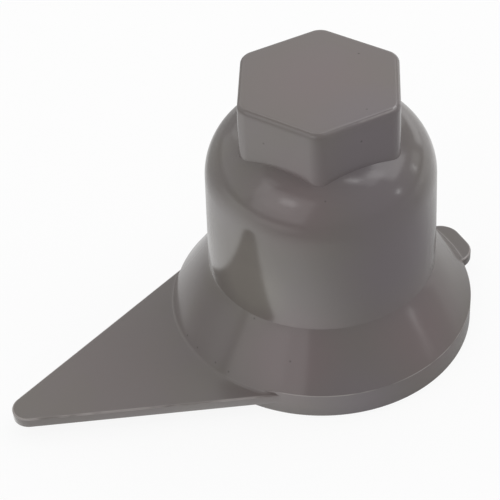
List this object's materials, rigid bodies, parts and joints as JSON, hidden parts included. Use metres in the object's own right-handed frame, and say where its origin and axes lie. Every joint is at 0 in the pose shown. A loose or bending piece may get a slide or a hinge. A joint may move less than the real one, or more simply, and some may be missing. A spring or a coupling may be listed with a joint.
{
  "type": "wheel nut cover cap",
  "caption": "Push-on plastic cover cap for a wheel nut, with hexagonal head, domed barrel, conical skirt, flat triangular pointer, thumb tab and ribbed bore.",
  "frame": {"origin": "on the axis of the nut, in the plane of the skirt's foot", "axes": "+Z along the axis towards the hexagonal head, +X along the pointer"},
  "size_m": [0.1016, 0.06, 0.0582],
  "materials": {
    "grey_plastic": "satin moulded, warm mid grey"
  },
  "bodies": {
    "root": {"nut_cover_cap": "grey_plastic"}
  },
  "joints": []
}
